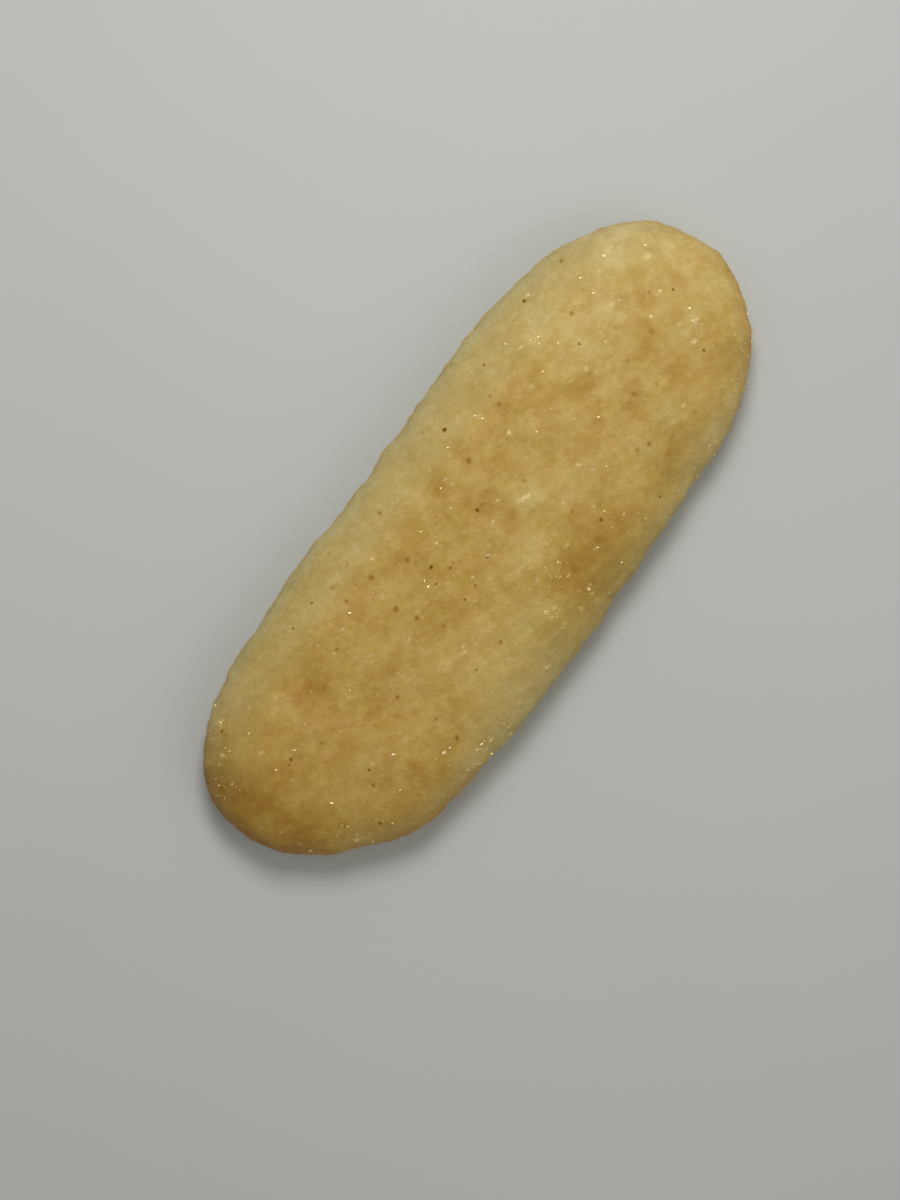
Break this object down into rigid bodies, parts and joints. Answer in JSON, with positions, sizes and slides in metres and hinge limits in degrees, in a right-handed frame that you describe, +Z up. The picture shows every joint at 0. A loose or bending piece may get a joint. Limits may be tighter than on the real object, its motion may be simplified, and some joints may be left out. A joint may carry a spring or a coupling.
{
  "type": "rice cracker",
  "caption": "Long oval puffed rice cracker with rounded rim, lightly browned and blistered face, lying flat.",
  "frame": {"origin": "middle of the cracker's footprint, on the surface it lies on", "axes": "+X along the cracker to its evenly rounded end, +Y across it, +Z up out of its shown face"},
  "size_m": [0.0776, 0.029, 0.0082],
  "materials": {
    "crust": "baked and lightly oiled, pale gold with soft brown patches",
    "salt": "small clear grains that glint",
    "toasted_specks": "tiny dark toasted specks"
  },
  "bodies": {
    "root": {"cracker": "crust"}
  },
  "joints": []
}
